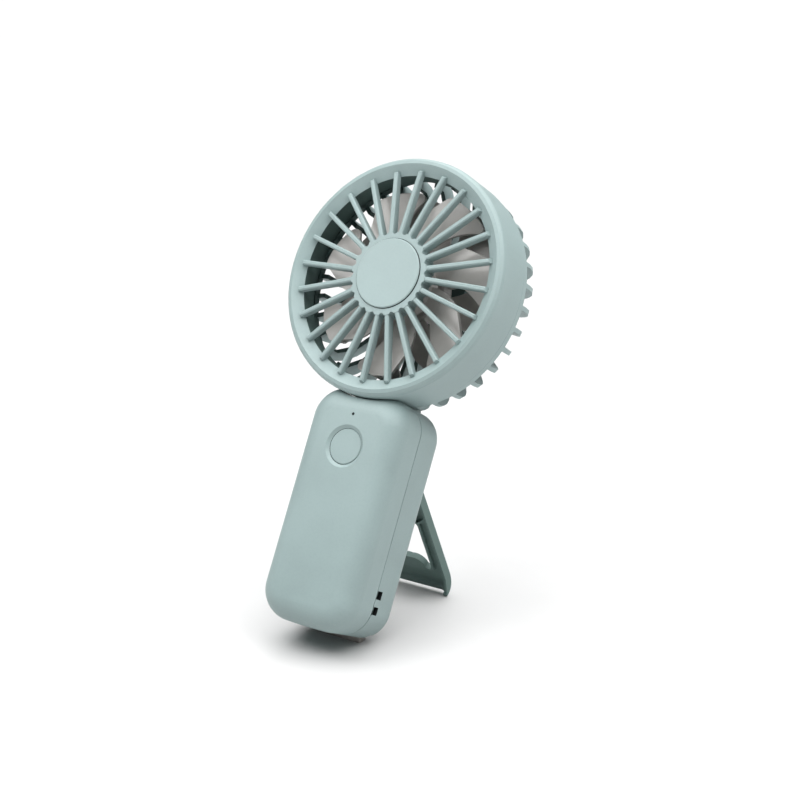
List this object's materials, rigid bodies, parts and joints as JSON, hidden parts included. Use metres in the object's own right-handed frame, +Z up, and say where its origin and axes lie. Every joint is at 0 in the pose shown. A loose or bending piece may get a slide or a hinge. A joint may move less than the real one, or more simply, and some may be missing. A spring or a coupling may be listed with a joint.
{
  "type": "portable hand fan",
  "caption": "Rechargeable hand fan on a folding rear stand: slatted round head on a tilting neck, two facing impellers and a flat grip with a push button.",
  "frame": {"origin": "middle of the rubber foot's flat face on the table", "axes": "+Z up, square to the table; +Y towards the folding stand at the back; +X to the right of someone facing the front grille's back, the side with the strap bar"},
  "size_m": [0.09, 0.1037, 0.1666],
  "materials": {
    "case_plastic": "matt grey-green plastic",
    "impeller_plastic": "satin taupe plastic",
    "foot_rubber": "soft grey rubber",
    "washer_plastic": "natural nylon",
    "switch_plastic": "black plastic",
    "clear_lens": "clear plastic",
    "lamp_body": "lamp chip",
    "board": "green circuit board",
    "cell_can": "sleeved cell",
    "socket_steel": "plated steel",
    "steel": "bright steel",
    "motor_steel": "plated steel can"
  },
  "bodies": {
    "handle": {"front_shell": "case_plastic", "rear_shell": "case_plastic", "button_switch": "switch_plastic", "indicator_lens": "clear_lens", "indicator_lamp": "lamp_body", "circuit_board": "board", "battery_cell": "cell_can", "cell_holder": "washer_plastic", "charge_socket": "socket_steel", "socket_board": "board", "rubber_foot": "foot_rubber", "case_screws": "steel", "stand_pin": "steel", "neck_pin": "steel", "neck_washers": "washer_plastic"},
    "button": {"power_button": "case_plastic"},
    "stand": {"kickstand": "case_plastic"},
    "head": {"front_grille": "case_plastic", "front_cap": "case_plastic", "front_motor": "motor_steel", "rear_grille": "case_plastic", "rear_cap": "case_plastic", "rear_motor": "motor_steel"},
    "front_fan": {"front_shaft": "steel", "front_impeller": "impeller_plastic"},
    "rear_fan": {"rear_shaft": "steel", "rear_impeller": "impeller_plastic"}
  },
  "joints": [
    {"name": "head_tilt", "type": "hinge", "parent": "handle", "child": "head", "pos_m": [0, 0.03492, 0.07182], "axis": [-1, 0, 0], "range_deg": [0, 90]},
    {"name": "stand_fold", "type": "hinge", "parent": "handle", "child": "stand", "pos_m": [0, 0.02743, 0.05257], "axis": [-1, 0, 0], "range_deg": [0, 54.3]},
    {"name": "button_press", "type": "slide", "parent": "handle", "child": "button", "axis": [0, 0.8788, -0.4772], "range_m": [0, 0.0005], "stiffness_N_per_m": 800, "springref_m": -0.0003},
    {"name": "front_fan_spin", "type": "hinge", "parent": "head", "child": "front_fan", "pos_m": [0, 0.03496, 0.12722], "axis": [0, 0.8788, -0.4772], "continuous": true},
    {"name": "rear_fan_spin", "type": "hinge", "parent": "head", "child": "rear_fan", "pos_m": [0, 0.03496, 0.12722], "axis": [0, 0.8788, -0.4772], "continuous": true}
  ]
}
